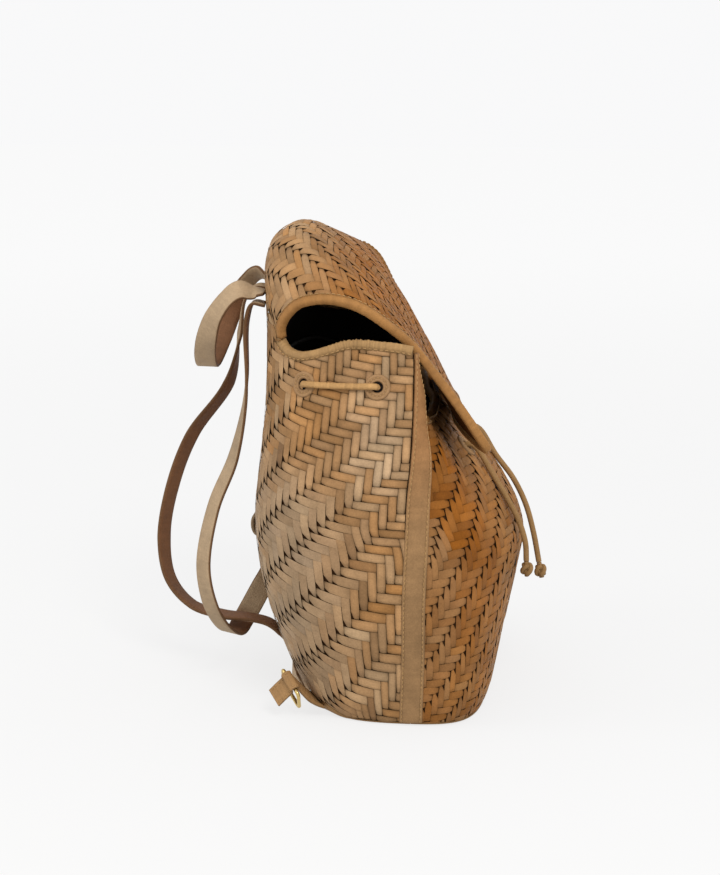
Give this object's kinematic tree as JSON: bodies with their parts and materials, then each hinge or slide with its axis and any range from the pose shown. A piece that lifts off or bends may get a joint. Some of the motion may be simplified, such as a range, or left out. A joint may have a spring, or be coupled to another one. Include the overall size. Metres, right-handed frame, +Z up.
{
  "type": "woven backpack",
  "caption": "Soft drawstring backpack woven of flat leather strips, with a fold-over flap, a carrying handle and shoulder straps that cross behind it.",
  "frame": {"origin": "middle of the base's underside", "axes": "+Z up, X across the bag, the front faces -Y and the shoulder straps hang on the +Y side"},
  "size_m": [0.2928, 0.3281, 0.3779],
  "materials": {
    "woven_leather": "satin",
    "smooth_leather": "satin",
    "edge_leather": "satin",
    "strap_leather": "satin",
    "lace_leather": "satin",
    "ring_brass": "polished"
  },
  "bodies": {
    "root": {"back_and_sides": "woven_leather", "front_panel": "woven_leather", "base_panel": "smooth_leather", "flap": "woven_leather", "flap_binding": "edge_leather", "front_binding": "edge_leather", "mouth_binding_left": "edge_leather", "mouth_binding_right": "edge_leather", "seam_band_left": "smooth_leather", "seam_band_right": "smooth_leather", "handle": "strap_leather", "shoulder_strap_left": "strap_leather", "shoulder_strap_right": "strap_leather", "strap_tab_left": "smooth_leather", "strap_tab_right": "smooth_leather", "strap_ring_left": "ring_brass", "strap_ring_right": "ring_brass", "back_tab": "strap_leather", "eyelet_left_front": "smooth_leather", "eyelet_left_back": "smooth_leather", "eyelet_right_front": "smooth_leather", "eyelet_right_back": "smooth_leather", "eyelet_front_left": "smooth_leather", "eyelet_front_right": "smooth_leather", "drawstring_left": "lace_leather", "drawstring_right": "lace_leather", "cord_end_left": "lace_leather", "cord_end_right": "lace_leather", "knot_left": "lace_leather", "knot_right": "lace_leather"}
  },
  "joints": []
}
